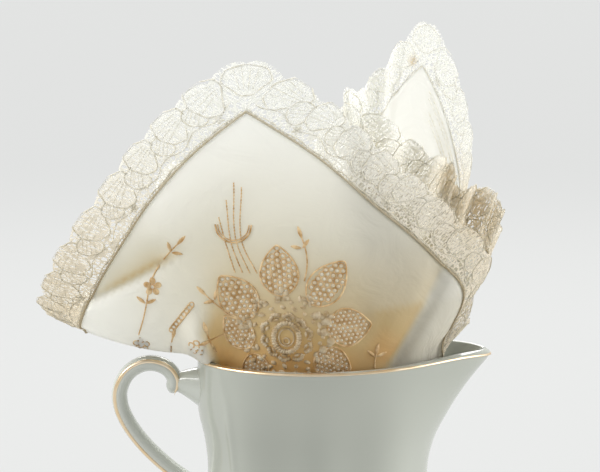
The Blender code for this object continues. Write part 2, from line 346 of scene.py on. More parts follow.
def draped_grid():
    """The draped cloth's middle surface and its outer side, on a grid round it and outwards."""
    turns = np.arange(AROUND) / AROUND * 4.0
    shares = np.linspace(0.0, 1.0, OUTWARD + 1)
    around, share = np.meshgrid(turns, shares, indexing="ij")
    place = cloth_point(around.ravel(), (share * reach_of_outline(around)).ravel())
    place = place.T.reshape(AROUND, OUTWARD + 1, 3)
    side = outward_of(place)

    step = np.linalg.norm(np.roll(place, -1, axis=0) - np.roll(place, 1, axis=0), axis=2)
    flat_step = 2.0 * 4.0 * SIDE / AROUND * np.maximum(share, 1e-3)
    tightness = np.clip(softened(step / flat_step, SLACK_REACH) + SLACK_START, 0.0, 1.0)
    wave = SIDE * share / GATHERS_PER_SIDE
    height = GATHER_SHARE * wave * np.sqrt(1.0 - tightness**2)
    height = GATHER_LIMIT * np.tanh(height / GATHER_LIMIT)
    wander = 0.9 * np.sin(TURN * around * 1.25 + 0.4) + 0.8 * np.sin(TURN * around * 2.75 + share)
    uneven = 0.82 + 0.25 * np.sin(TURN * around * 4.25 + 2.0 * share + 1.0)
    phase = TURN * GATHERS_PER_SIDE * around + wander
    inside = 1.0 - smooth_step(100.0, 116.0, place[..., 2])
    front = smooth_step(*FRONT_STARTS, around) + 1.0 - smooth_step(*FRONT_ENDS, around)
    height = height * (1.0 - front * smooth_step(78.0, 92.0, place[..., 2]))
    shift = height * (uneven * np.cos(phase) - INWARD_SHARE * inside)

    seen = place[..., [0, 2]] - FLOWER
    for x0, z0, x1, z1, upper, lower, crease in CREASES[1:]:
        start, way = np.array([x0, z0]), np.array([x1 - x0, z1 - z0])
        span = np.clip((seen - start) @ way / (way @ way), 0.0, 1.0)
        miss = seen - start - span[..., None] * way
        above = way[0] * miss[..., 1] - way[1] * miss[..., 0] > 0.0
        off = np.linalg.norm(miss, axis=2) / np.where(above, upper, lower)
        shift += front * crease * np.exp(-(off**2))
    place = place + side * (shift * smooth_step(0.0, 0.15, share))[..., None]
    return place, outward_of(place)


PLACE, OUTER_SIDE = draped_grid()


def on_cloth(around, share, height):
    """The point that lies height above the draped cloth's middle, in millimetres."""
    column = np.mod(around, 4.0) / 4.0 * AROUND
    row = np.clip(share, 0.0, 1.0) * OUTWARD
    left, low = np.floor(column).astype(int), np.minimum(np.floor(row).astype(int), OUTWARD - 1)
    a, b = (column - left)[:, None], (row - low)[:, None]
    left, right = left % AROUND, (left + 1) % AROUND

    def read(grid):
        below = grid[left, low] * (1 - a) + grid[right, low] * a
        above = grid[left, low + 1] * (1 - a) + grid[right, low + 1] * a
        return below * (1 - b) + above * b

    return read(PLACE) + read(OUTER_SIDE) * np.asarray(height)[:, None]


def inward_share(around, inward):
    """The share of the outline's reach that lies inward millimetres inside the cloth's edge."""
    along = np.mod(around, 1.0)
    square = HALF_DIAGONAL * np.hypot(1.0 - along, along)
    return (1.0 - inward / (SIDE / 2.0)) * square / reach_of_outline(around)


def flat_place(x, y):
    """around and share of a point of the flat cloth, +y to the front corner, +x to the right."""
    total = np.maximum(np.abs(x) + np.abs(y), 1e-6)
    by_x, by_y = np.abs(x) / total, np.abs(y) / total
    right = np.where(y >= 0.0, by_x, 1.0 + by_y)
    left = np.where(y < 0.0, 2.0 + by_x, 3.0 + by_y)
    around = np.where(x >= 0.0, right, left)
    return around, np.hypot(x, y) / reach_of_outline(around)


def from_corner(side, along, inward):
    """A flat point given from one corner along the cloth's side and inward from its edge."""
    corners = HALF_DIAGONAL * np.array([(0, 1), (1, 0), (0, -1), (-1, 0)])
    start, end = corners[side % 4], corners[(side + 1) % 4]
    way, inside = unit(end - start), -unit(start + end)
    return (start + np.outer(along, way) + np.outer(inward, inside)).T


def front_place(x, z):
    """around and share of the front's point that is seen at x, z from the front."""
    before, after = np.arange(FRONT_STARTS[0], 4.0, 0.01), np.arange(0.0, FRONT_ENDS[1], 0.01)
    turns = np.concatenate([before, after])
    shares = np.arange(0.3, 1.0, 0.01)
    a, s = (grid.ravel() for grid in np.meshgrid(turns, shares))
    known = on_cloth(a, s, np.zeros(len(a)))
    known[:, 1] = 0.0
    tree = KDTree(len(known))
    for i, place in enumerate(known):
        tree.insert(place, i)
    tree.balance()
    nearest = [tree.find((x[i], 0.0, z[i]))[1] for i in range(len(x))]
    wanted = np.stack([x, z], axis=1)
    a, s = a[nearest], s[nearest]
    flat, nudge = np.zeros(len(a)), 1e-3
    for _ in range(6):
        here = on_cloth(a, s, flat)[:, [0, 2]]
        by_a = (on_cloth(a + nudge, s, flat)[:, [0, 2]] - here) / nudge
        by_s = (on_cloth(a, s + nudge, flat)[:, [0, 2]] - here) / nudge
        miss = wanted - here
        area = by_a[:, 0] * by_s[:, 1] - by_a[:, 1] * by_s[:, 0]
        area = np.where(np.abs(area) < 1.0, np.copysign(1.0, area), area)
        a = a + np.clip((miss[:, 0] * by_s[:, 1] - miss[:, 1] * by_s[:, 0]) / area, -0.05, 0.05)
        s = s + np.clip((by_a[:, 0] * miss[:, 1] - by_a[:, 1] * miss[:, 0]) / area, -0.05, 0.05)
    return a, s


# Materials


def linear(hex_colour):
    """An sRGB hex colour as linear red, green, blue, alpha."""
    parts = [int(hex_colour[i : i + 2], 16) / 255.0 for i in (1, 3, 5)]
    return (*[c / 12.92 if c <= 0.04045 else ((c + 0.055) / 1.055) ** 2.4 for c in parts], 1.0)


def join(tree, node, links):
    """Links sockets of a node to the outputs that they read."""
    for key, source in dict(links).items():
        tree.links.new(source, node.inputs[key])


def add(tree, kind, settings=(), links=()):
    """Adds a node. settings: attribute or socket to value. links: socket to the output it reads."""
    node = tree.nodes.new(kind)
    for key, value in dict(settings).items():
        if isinstance(key, str) and hasattr(node, key):
            setattr(node, key, value)
        else:
            node.inputs[key].default_value = value
    join(tree, node, links)
    return node


def finish(name, settings):
    """A new material, its tree and its Principled shader with the settings of its sockets."""
    made = bpy.data.materials.new(name)
    made.use_nodes = True
    shader = made.node_tree.nodes["Principled BSDF"]
    for socket, value in settings.items():
        shader.inputs[socket].default_value = value
    return made, made.node_tree, shader


def place_in(tree):
    """The place in the piece's own coordinates."""
    return add(tree, "ShaderNodeTexCoord").outputs["Object"]


def kept(tree, name):
    """The level that the mesh keeps in its attribute of that name."""
    return add(tree, "ShaderNodeAttribute", {"attribute_name": name}).outputs["Fac"]


def noise(tree, place, scale, detail, **more):
    """The level of a noise at the place."""
    settings = {"Scale": scale, "Detail": detail, **more}
    return add(tree, "ShaderNodeTexNoise", settings, {"Vector": place}).outputs["Fac"]


def ramp(tree, level, *stops):
    """The colour that the level picks from a ramp. stops: positions with sRGB hex colours."""
    node = add(tree, "ShaderNodeValToRGB", {}, {0: level})
    elements = node.color_ramp.elements
    elements[0].position, elements[1].position = stops[0][0], stops[-1][0]
    for position, _ in stops[1:-1]:
        elements.new(position)
    for element, (_, colour) in zip(elements, stops):
        element.color = linear(colour)
    return node.outputs["Color"]


def bump(tree, height, strength, distance, links=()):
    """A normal that leans with the height."""
    settings = {"Strength": strength, "Distance": distance}
    node = add(tree, "ShaderNodeBump", settings, {"Height": height, **dict(links)})
    return node.outputs["Normal"]


def light_through(tree, shader, colour, share):
    """Colours the shader and mixes in the share of light that comes through from behind."""
    join(tree, shader, {"Base Color": colour})
    glow = add(tree, "ShaderNodeBsdfTranslucent", {}, {"Color": colour})
    links = {1: shader.outputs[0], 2: glow.outputs[0]}
    return add(tree, "ShaderNodeMixShader", {0: share}, links).outputs[0]


def shown(tree, surface):
    """Makes a shader's output the material's surface."""
    join(tree, tree.nodes["Material Output"], {"Surface": surface})


def lawn():
    """Fine cotton lawn: a soft sheer weave, cream, that glows where light comes through it."""
    settings = {"Roughness": 0.85, "Sheen Weight": 0.15, "IOR": 1.45}
    made, tree, shader = finish("fine cotton lawn, plain woven", settings)
    uv = add(tree, "ShaderNodeUVMap", {"uv_map": "flat"}).outputs["UV"]
    blotch = noise(tree, uv, 14.0, 3.0)
    uneven = add(tree, "ShaderNodeMapRange", {1: 0.3, 2: 0.7, 3: 0.9, 4: 1.1}, {0: blotch})
    links = {0: kept(tree, "age_and_shade"), 1: uneven.outputs[0]}
    level = add(tree, "ShaderNodeMath", {"operation": "MULTIPLY"}, links).outputs[0]
    # The ramp colours the kept level from cream through beige to golden tan, as painted shade and
    # some yellowing.
    cream = ((0.0, "#FBFBF8"), (0.28, "#EAE7DB"), (0.52, "#E2D8BE"))
    tan = ((0.78, "#DBC594"), (1.0, "#E6B46A"))
    colour = ramp(tree, level, *cream, *tan)
    weave = bump(tree, noise(tree, uv, 900.0, 2.0), 0.12, 0.0002)
    rumples = noise(tree, uv, 60.0, 4.0, Distortion=1.2)
    join(tree, shader, {"Normal": bump(tree, rumples, 0.55, 0.0018, {"Normal": weave})})
    shown(tree, light_through(tree, shader, colour, 0.42))
    return made


def lace_net():
    """Machine-made cotton net: open cells between fine twisted threads, about 1.1 by 1.7 mm
    and drawn out across the edging, and close hatching inside the leaves, 0.6 by 2.6 mm."""
    settings = {"Roughness": 0.8, "Sheen Weight": 0.1}
    made, tree, shader = finish("cotton machine lace, net", settings)
    uv = add(tree, "ShaderNodeUVMap", {"uv_map": "edging"}).outputs["UV"]
    covers = []
    for stretch, thread_from, thread_to, least in (
        ((900.0, 600.0, 1.0), 0.05, 0.18, 0.08),
        ((1700.0, 380.0, 1.0), 0.06, 0.22, 0.2),
    ):
        place = add(tree, "ShaderNodeMapping", {"Scale": stretch}, {"Vector": uv}).outputs[0]
        cell = {"feature": "DISTANCE_TO_EDGE", "Scale": 1.0, "Randomness": 0.75}
        cells = add(tree, "ShaderNodeTexVoronoi", cell, {"Vector": place}).outputs["Distance"]
        limits = {1: thread_from, 2: thread_to, 3: 1.0, 4: least}
        smooth = {"interpolation_type": "SMOOTHSTEP", **limits}
        covers.append(add(tree, "ShaderNodeMapRange", smooth, {0: cells}).outputs[0])
    links = {0: kept(tree, "leaf"), 2: covers[0], 3: covers[1]}
    cover = add(tree, "ShaderNodeMix", {}, links).outputs[0]
    # White to brown by the kept level: painted shade low down and on the ruffle, and one real brown
    # stain.
    tones = {"data_type": "RGBA", 6: linear("#FBFBF6"), 7: linear("#D2B67A")}
    colour = add(tree, "ShaderNodeMix", tones, {0: kept(tree, "age_and_shade")}).outputs[2]
    hole = add(tree, "ShaderNodeBsdfTransparent").outputs[0]
    links = {0: cover, 1: hole, 2: light_through(tree, shader, colour, 0.3)}
    shown(tree, add(tree, "ShaderNodeMixShader", {}, links).outputs[0])
    return made


def thread(name, colour, shade, share_through, aged_and_shaded_to=None):
    """Cotton floss or gimp: matt thread with a faint sheen, a little uneven in tone."""
    made, tree, shader = finish(name, {"Roughness": 0.65, "Sheen Weight": 0.2})
    tone = ramp(tree, noise(tree, place_in(tree), 420.0, 3.0), (0.35, shade), (0.65, colour))
    # Where the piece keeps a level, the tone turns towards the last colour: painted shade low down
    # and on the ruffle, with one real brown stain.
    if aged_and_shaded_to:
        links = {0: kept(tree, "age_and_shade"), 6: tone}
        aged_and_shaded_tone = {"data_type": "RGBA", 7: linear(aged_and_shaded_to)}
        tone = add(tree, "ShaderNodeMix", aged_and_shaded_tone, links).outputs[2]
    shown(tree, light_through(tree, shader, tone, share_through))
    return made


def porcelain(name, low, high):
    """Glazed porcelain under a clear, slightly wavy glaze, its body between the low and high tones,
    which the body's call makes grey as painted shade and the handle's call lighter as painted
    light.
    """
    settings = {"Roughness": 0.12, "IOR": 1.54, "Coat Weight": 0.3, "Coat Roughness": 0.04}
    made, tree, shader = finish(name, settings)
    clouds = noise(tree, place_in(tree), 18.0, 2.0)
    tone = ramp(tree, clouds, (0.0, low), (1.0, high))
    join(tree, shader, {"Base Color": tone, "Normal": bump(tree, clouds, 0.05, 0.001)})
    return made


def gilding():
    """Fired liquid gold: a thin bright metal line, brushed on and slightly worn."""
    made, tree, shader = finish("fired gold line", {"Metallic": 1.0})
    wear = noise(tree, place_in(tree), 160.0, 3.0)
    tone = ramp(tree, wear, (0.0, "#F2CE96"), (1.0, "#FFF4E0"))
    rough = add(tree, "ShaderNodeMapRange", {3: 0.25, 4: 0.45}, {0: wear}).outputs[0]
    join(tree, shader, {"Base Color": tone, "Roughness": rough})
    return made


# Meshes


def piece(name, points, faces, look):
    """A new piece from points in millimetres, riding on the one body."""
    mesh = bpy.data.meshes.new(name)
    mesh.from_pydata((np.asarray(points) * MM).tolist(), [], faces)
    mesh.update()
    obj = bpy.data.objects.new(name, mesh)
    bpy.context.scene.collection.objects.link(obj)
    mesh.materials.append(look)
    mesh.shade_smooth()
    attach(obj, "root")
    return obj


def only(obj):
    """Selects obj alone and makes it the active object."""
    bpy.ops.object.select_all(action="DESELECT")
    obj.select_set(True)
    bpy.context.view_layer.objects.active = obj


def applied(obj, kind, **settings):
    """Adds a modifier with its settings and applies it."""
    only(obj)
    modifier = obj.modifiers.new(kind.lower(), kind)
    for key, value in settings.items():
        setattr(modifier, key, value)
    bpy.ops.object.modifier_apply(modifier=modifier.name)


def flat_map(obj, name, flat_x, flat_y):
    """A UV map in metres of the flat cloth, so that weave and net keep their real size."""
    layer = obj.data.uv_layers.new(name=name)
    loops = np.zeros(len(obj.data.loops), int)
    obj.data.loops.foreach_get("vertex_index", loops)
    place = np.stack([flat_x[loops], flat_y[loops]], axis=1) * MM
    layer.data.foreach_set("uv", place.ravel().astype(np.float32))


def flat_of(around, share):
    """The point of the flat cloth, +y to the front corner and +x to the right one."""
    along, quarter = np.mod(around, 1.0), np.mod(around, 4.0) // 1
    ways = {
        0: (along, 1 - along),
        1: (1 - along, -along),
        2: (-along, along - 1),
        3: (along - 1, along),
    }
    x = sum(np.where(quarter == q, way[0], 0.0) for q, way in ways.items())
    y = sum(np.where(quarter == q, way[1], 0.0) for q, way in ways.items())
    reach = share * reach_of_outline(around) / np.hypot(x, y)
    return x * reach, y * reach


def sheet_mesh(name, columns_around, rows_of_share, look, closed_centre):
    """A sheet on the drape: one ring of points for each row, from inside outwards."""
    turns = np.arange(columns_around) / columns_around * 4.0
    around = np.tile(turns, len(rows_of_share))
    share = np.concatenate([np.broadcast_to(row, turns.shape) for row in rows_of_share])
    faces = []
    for row in range(len(rows_of_share) - 1):
        for i in range(columns_around):
            j = (i + 1) % columns_around
            low, high = row * columns_around, (row + 1) * columns_around
            faces.append((low + j, low + i, high + i, high + j))
    if closed_centre:
        around, share = np.append(around, 0.0), np.append(share, 0.0)
        middle = len(around) - 1
        faces += [(middle, i, (i + 1) % columns_around) for i in range(columns_around)]
    points = on_cloth(around, share, np.zeros(len(around)))
    obj = piece(name, points, faces, look)
    flat_map(obj, "flat", *flat_of(around, share))
    return obj, around, share


def keep(obj, name, value):
    """Keeps a level from 0 to 1 at each point, for the material to read."""
    level = obj.data.attributes.new(name, "FLOAT", "POINT")
    level.data.foreach_set("value", value.clip(0.0, 1.0).astype(np.float32))


def lawn_age_and_shade(obj, around, share):
    """Painted shade on the lawn with some real yellowing: tan towards the mouth and the right, most
    round the flower, a painted shadow patch on the right with a lighter painted facet beside it, a
    whiter painted lit flap over the rim, and painted shade above one crease.
    """
    place = on_cloth(around, share, np.zeros(len(around)))
    x, z = place[:, 0] - FLOWER[0], place[:, 2] - FLOWER[1]
    # Painted shade with some yellowing: tan towards the mouth, less towards the left.
    level = 0.56 * (1.0 - smooth_step(-14.0, 88.0, z)) ** 1.1
    level *= 0.25 + 0.75 * smooth_step(-72.0, -30.0, x - 0.3 * z)
    # By the rim: more tan right of the fold over the rim, as painted shade with some yellowing, and
    # whiter on the flap left of it, as painted light.
    rim = 1.0 - smooth_step(-20.0, 36.0, z - 0.15 * np.abs(x))
    left_end = 3.0 + 0.5 * np.maximum(z, 0.0)
    left = smooth_step(-3.0, left_end, x + 29.0 + 0.3 * np.minimum(z, 0.0))
    level = level + 0.3 * rim * left * (1.0 - 0.5 * smooth_step(20.0, 40.0, x))
    level *= 1.0 - 0.75 * (1.0 - left) * rim
    # A painted shadow patch on the right of the flower.
    shadow_patch = smooth_step(-14.0, -6.0, z) * (1.0 - smooth_step(8.0, 11.0, z - 0.1 * (x - 28.0)))
    level = level + 0.16 * shadow_patch * smooth_step(24.0, 34.0, x)
    # Painted light: a lit facet, lighter to the right of a line beside the patch.
    level *= 1.0 - 0.6 * smooth_step(-2.0, 1.5, x - 41.6 - 0.534 * z)

    # Painted shade above the first crease, with a darker line along it.
    crease_x, crease_z, end_x, end_z = CREASES[1][:4]
    way = np.array([end_x - crease_x, end_z - crease_z])
    along = ((x - crease_x) * way[0] + (z - crease_z) * way[1]) / (way @ way)
    above = ((z - crease_z) * way[0] - (x - crease_x) * way[1]) / math.sqrt(way @ way)
    shade = 0.48 * np.exp(-np.maximum(above, 0.0) / 9.0)
    shade = shade + 0.25 * np.exp(-(((above - 1.2) / 1.3) ** 2))
    shade *= smooth_step(-1.4, 1.6, above) * smooth_step(0.0, 0.7, along)
    level = level + shade * (1.0 - smooth_step(1.0, 1.5, along)) * (1.0 - level)
    keep(obj, "age_and_shade", np.where(place[:, 1] < 4.0, level, 0.02))


# Stains of the lace and spots of painted shade on its folded ruffle, as seen from the front: the
# first two rows are painted shade, the last a real brown stain
STAINS_AND_SHADE_SPOTS = (
    ("x", "z", "reach", "level"),
    (46.0, 161.0, 6.0, 0.35),
    (55.0, 150.0, 8.0, 0.3),
    (35.5, 198.0, 1.4, 0.7),
)


def lace_age_and_shade(obj, around, share, worn=0.0):
    """Painted shade on the lace: browner low down and towards the front, left white at the back,
    with worn as an even browning at the front; painted shade spots on the folded ruffle and one
    real brown stain.
    """
    place = on_cloth(around, share, np.zeros(len(around)))
    # Painted shade: darker low down, at the front only.
    low = 0.38 * (1.0 - smooth_step(120.0, 195.0, place[:, 2]))
    level = (low + worn) * (1.0 - smooth_step(5.0, 30.0, place[:, 1]))
    for x, z, reach, stain_and_shade in STAINS_AND_SHADE_SPOTS[1:]:
        off = np.hypot(place[:, 0] - x, place[:, 2] - z) / reach
        level = level + stain_and_shade * np.exp(-(off**2))
    keep(obj, "age_and_shade", level)


# Cloth

CLOTH_COLUMNS = 640
CLOTH_ROWS = np.concatenate([np.linspace(0.03, 0.36, 14)[:-1], np.linspace(0.36, 1.0, 50)])


def handkerchief(look):
    """The lawn inside the lace."""
    turns = np.arange(CLOTH_COLUMNS) / CLOTH_COLUMNS * 4.0
    hem = inward_share(turns, HEADING)
    rows = [hem * step for step in CLOTH_ROWS]
    cloth, around, share = sheet_mesh("handkerchief_cloth", CLOTH_COLUMNS, rows, look, True)
    lawn_age_and_shade(cloth, around, share)
    applied(cloth, "SOLIDIFY", thickness=CLOTH_THICKNESS * MM, offset=0.0)
    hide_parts("handkerchief")
    return cloth


LACE_COLUMNS = 1680
LACE_ROWS = 13
LACE_THICKNESS = 0.2
SCALLOPS_PER_SIDE = 22
SCALLOP = SIDE / SCALLOPS_PER_SIDE
SCALLOP_DEPTH = 2.1
LEAF_LEAN = 3.0
LEAF_FLATNESS = 0.8
LEAF_SIZE, SMALL_LEAF_SIZE, CORNER_LEAF_SIZE = 6.1, 3.9, 6.0


def lace_leaves(side):
    """The edging's leaves on one side of the cloth: flat middle, size and turn in degrees."""
    found = []
    for k in range(1, SCALLOPS_PER_SIDE - 1):
        wobble = 0.4 * math.sin(2.3 * k)
        for step, depth, size, lean in (
            (0.5, 5.4, LEAF_SIZE, -8.0),
            (1.02, 8.0, SMALL_LEAF_SIZE, 22.0),
        ):
            if k + step < SCALLOPS_PER_SIDE - 1:
                along, inward = np.array([(k + step) * SCALLOP]), np.array([depth + wobble])
                middle = from_corner(side, along, inward).ravel()
                found.append((middle, size + wobble, 45.0 - 90.0 * side + lean))
    corner = from_corner(side, np.array([8.0]), np.array([8.0])).ravel()
    found.append((corner, CORNER_LEAF_SIZE, -90.0 * side))
    return found


def leaf_outline(size, lean, steps=32):
    """A rounded leaf about its own middle, its crown outwards and its foot drawn back."""
    turns = np.linspace(0.0, TURN, steps, endpoint=False)
    crimp = size * (1.0 + 0.035 * np.cos(7.0 * turns))
    x, y = crimp * np.sin(turns), crimp * LEAF_FLATNESS * np.cos(turns)
    foot = smooth_step(0.0, 1.0, -y / size)
    return np.column_stack([x * (1.0 - 0.5 * foot) + lean * foot, y - 1.2 * foot])


def turned(points, degrees):
    """Flat points turned about their origin."""
    x, y = points.T
    c, s = math.cos(math.radians(degrees)), math.sin(math.radians(degrees))
    return np.column_stack([c * x - s * y, s * x + c * y])


def lace(look):
    """The net of the edging, its outer edge cut in rounded scallops."""
    turns = np.arange(LACE_COLUMNS) / LACE_COLUMNS * 4.0
    along = np.mod(turns, 1.0) * SIDE
    arch = np.abs(np.sin(math.pi * along / SCALLOP))
    edge = 0.2 + SCALLOP_DEPTH * (1.0 - arch**0.6)
    outer = 1.0 - edge / (SIDE / 2.0)
    inner = inward_share(turns, LACE_WIDTH)
    rows = [inner + (outer - inner) * k / LACE_ROWS for k in range(LACE_ROWS + 1)]
    net, around, share = sheet_mesh("lace_net", LACE_COLUMNS, rows, look, False)
    flat = np.column_stack(flat_of(around, share))
    flat_map(net, "edging", (np.mod(around, 1.0) - 0.5) * share * SIDE, (1.0 - share) * SIDE / 2.0)
    inside = np.zeros(len(flat))
    for side in range(4):
        for middle, size, turn in lace_leaves(side):
            local = turned(flat - middle, -turn)
            off = np.hypot(local[:, 0] - 0.2 * LEAF_LEAN, (local[:, 1] + 0.4) / 0.86)
            inside = np.maximum(inside, 1.0 - smooth_step(size - 0.6, size, off))
    keep(net, "leaf", inside)
    lace_age_and_shade(net, around, share)
    applied(net, "SOLIDIFY", thickness=LACE_THICKNESS * MM, offset=0.0)
    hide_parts("lace_edging")
    return net


# Jug


def spout_share(angle):
    """1 at the spout, falling off to both sides."""
    off = np.abs(np.mod(np.degrees(angle) + 180.0, 360.0) - 180.0)
    return 1.0 / (1.0 + (off / SPOUT_WIDTH_DEG) ** 2)


def jug_ring(angle, height):
    """One ring of the jug's outer wall. It rises beside the spout and dips again at its tip."""
    wall = columns(JUG_WALL)
    length = smooth_curve(np.array([height]), wall["height"], wall["half_length"])[0]
    depth = length * smooth_curve(np.array([height]), wall["height"], wall["depth_share"])[0]
    spout = spout_share(angle)
    radius = 1.0 / np.hypot(np.cos(angle) / length, np.sin(angle) / depth)
    flare = math.exp(-(((RIM_HEIGHT - height) / SPOUT_DEPTH) ** SPOUT_FALL_POWER))
    belly = max(math.sin(math.pi * height / RIM_HEIGHT), 0.0)
    radius = radius + SPOUT_REACH * flare * spout + LOBE_DEPTH * belly * np.cos(LOBES * angle)
    off = np.degrees(np.abs((angle + math.pi) % TURN - math.pi)) - RIB_DEG
    off = off - RIB_LEAN_DEG * smooth_step(RIB_LEAN_FROM, RIM_HEIGHT, height)
    radius = radius + RIB_HEIGHT * belly**0.3 * np.exp(-((off / RIB_WIDTH_DEG) ** 2))
    rise = SPOUT_RISE * flare * (spout**0.5 - SPOUT_DIP * spout**3)
    return np.stack([radius * np.cos(angle), radius * np.sin(angle), height + rise], axis=1)


def bands(rings, sides, closed):
    """Four-sided faces from each ring of points to the next, and from the last to the first."""
    faces = []
    for i in range(rings if closed else rings - 1):
        a, b = i * sides, (i + 1) % rings * sides
        faces += [(a + k, b + k, b + (k + 1) % sides, a + (k + 1) % sides) for k in range(sides)]
    return faces


def tube(path, radius, closed=False, sides=6, widening=1.0):
    """A round cord along a flat path of x, y and height. radius is one number or one a point."""
    path = np.asarray(path, float)
    count = len(path)
    radius = np.broadcast_to(radius, count)[:, None, None]
    if closed:
        way = np.roll(path, -1, axis=0) - np.roll(path, 1, axis=0)
    else:
        way = np.gradient(path, axis=0)
    way = unit(way[:, :2])
    across = np.stack([-way[:, 1], way[:, 0], np.zeros(count)], axis=1)
    turns = np.arange(sides) / sides * TURN
    up = np.array([0.0, 0.0, 1.0])
    ring = across[:, None, :] * np.cos(turns)[None, :, None]
    ring = ring + up * (widening * np.sin(turns))[None, :, None]
    points = (path[:, None, :] + radius * ring).reshape(-1, 3)
    faces = bands(count, sides, closed)
    if not closed:
        last = (count - 1) * sides
        faces += [tuple(range(sides)), tuple(last + k for k in reversed(range(sides)))]
    return points, faces


def gathered(parts):
    """Several flat shapes as one list of points and faces."""
    points, faces, start = [], [], 0
    for shape_points, shape_faces in parts:
        points.append(shape_points)
        faces += [tuple(start + i for i in face) for face in shape_faces]
        start += len(shape_points)
    return np.concatenate(points), faces


def on_all(obj, operator, **settings):
    """Runs an operator on all of a mesh in edit mode."""
    only(obj)
    bpy.ops.object.mode_set(mode="EDIT")
    bpy.ops.mesh.select_all(action="SELECT")
    operator(**settings)
    bpy.ops.object.mode_set(mode="OBJECT")


def jug_body(look):
    """The lobed wall, drawn up ring by ring from its foot, with its spout and rounded rim."""
    bpy.ops.object.select_all(action="DESELECT")
    bpy.ops.mesh.primitive_circle_add(vertices=JUG_COLUMNS, radius=0.02, fill_type="NGON")
    body = bpy.context.object
    body.name = body.data.name = "jug_body"
    bpy.ops.object.mode_set(mode="EDIT")
    bpy.ops.mesh.select_mode(type="EDGE")
    bpy.ops.mesh.select_all(action="DESELECT")
    bpy.ops.mesh.select_non_manifold()
    for _ in range(JUG_ROWS):
        bpy.ops.mesh.extrude_edges_move(TRANSFORM_OT_translate={"value": (0.0, 0.0, MM)})
    bpy.ops.object.mode_set(mode="OBJECT")
    points = np.zeros(len(body.data.vertices) * 3)
    body.data.vertices.foreach_get("co", points)
    points = points.reshape(-1, 3)
    rows = np.round(points[:, 2] / MM).astype(int)
    angles = np.arctan2(points[:, 1], points[:, 0])
    for row, height in enumerate(RIM_HEIGHT * np.linspace(0.0, 1.0, JUG_ROWS + 1)):
        points[rows == row] = jug_ring(angles[rows == row], height) * MM
    body.data.vertices.foreach_set("co", points.ravel())
    body.data.update()
    on_all(body, bpy.ops.mesh.normals_make_consistent, inside=False)
    if min(body.data.polygons, key=lambda face: face.center.z).normal.z > 0.0:
        on_all(body, bpy.ops.mesh.flip_normals)
    body.data.materials.append(look)
    applied(body, "SOLIDIFY", thickness=WALL * MM, offset=-1.0, use_even_offset=True)
    rounding = {"segments": 3, "limit_method": "ANGLE", "angle_limit": math.radians(50.0)}
    applied(body, "BEVEL", width=RIM_ROUND * MM, **rounding)
    bpy.ops.object.shade_smooth()
    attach(body, "root")
    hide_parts("jug")


def smooth_route(table, steps):
    """A smooth line through a handle table's points: x, z and swell."""
    rows = columns(table)
    knots = np.arange(len(rows["x"]))
    at = np.linspace(0, len(knots) - 1, steps)
    return [smooth_curve(at, knots, rows[name]) for name in ("x", "z", "swell")]


def upright(points):
    """Turns a shape that was modelled flat so that it stands in the plane of the handle."""
    return np.stack([points[:, 0], -points[:, 2], points[:, 1]], axis=1)


def handle(look, gold):
    """The scroll handle and its lug, and a gold line along each side of its outer face."""
    parts = []
    for table, radius, steps, widening in (
        (HANDLE_BOW, HANDLE_RADIUS, 90, HANDLE_WIDENING),
        (LUG, LUG_RADIUS, 24, LUG_WIDENING),
    ):
        x, z, swell = smooth_route(table, steps)
        ends = np.sqrt(np.clip(np.arange(steps) / 3.0 + 0.12, 0.0, 1.0))
        route = np.stack([x, z, np.zeros(steps)], axis=1)
        parts.append(tube(route, radius * swell * ends, sides=24, widening=widening))
    points, faces = gathered(parts)
    bar = piece("jug_handle", upright(points), faces, look)

    x, z, _ = smooth_route(HANDLE_BOW, GOLD_STEPS)
    way = unit(np.gradient(np.column_stack([x, z]), axis=0))
    route = np.column_stack([x, z]) + GOLD_OUT * np.column_stack([way[:, 1], -way[:, 0]])
    thick = GOLD_BEAD * smooth_step(0.0, 6.0, np.arange(GOLD_STEPS))
    route, thick = route[:GOLD_END], np.maximum(thick, 0.05)[:GOLD_END]
    sides = []
    for across in (-1.0, 1.0):
        lift = np.full(GOLD_END, across * GOLD_ACROSS)
        sides.append(tube(np.column_stack([route, lift]), thick, sides=8))
    points, faces = gathered(sides)
    bead = piece("handle_gold_line", upright(points), faces, gold)


def rim_line(gold):
    """The gold line round the outer edge of the rim."""
    angles = np.arange(RIM_COLUMNS) / RIM_COLUMNS * TURN
    ring = jug_ring(angles, RIM_HEIGHT - 0.02)
    level = ring[:, :2] / np.linalg.norm(ring[:, :2], axis=1, keepdims=True)
    rows = [
        np.column_stack([ring[:, :2] + level * out, ring[:, 2] - drop])
        for drop, out in GOLD_SECTION[1:]
    ]
    faces = bands(len(rows), RIM_COLUMNS, True)
    bead = piece("rim_gold_line", np.concatenate(rows), faces, gold)


# Stitches. Each kind is modelled once, flat and at unit size, and copied to its places.


def modelled(add_primitive, shape_it=None, **settings):
    """A unit shape's points and faces, from a primitive shaped in edit mode."""
    bpy.ops.object.select_all(action="DESELECT")
    add_primitive(**settings)
    shape = bpy.context.object
    if shape_it:
        bpy.ops.object.mode_set(mode="EDIT")
        shape_it(shape)
        bpy.ops.object.mode_set(mode="OBJECT")
    points = np.array([tuple(vert.co) for vert in shape.data.vertices])
    faces = [tuple(face.vertices) for face in shape.data.polygons]
    bpy.data.meshes.remove(shape.data)
    return points, faces


def domed(shape):
    """Draws a low drum's top in twice, so that it crowns like padded satin stitch."""
    bpy.ops.mesh.select_mode(type="FACE")
    bpy.ops.mesh.select_all(action="DESELECT")
    bpy.ops.object.mode_set(mode="OBJECT")
    top = max(shape.data.polygons, key=lambda face: face.center.z)
    top.select = True
    bpy.ops.object.mode_set(mode="EDIT")
    for inset, rise in ((0.2, 0.3), (0.35, 0.2)):
        bpy.ops.mesh.inset(thickness=inset)
        bpy.ops.transform.translate(value=(0.0, 0.0, rise))


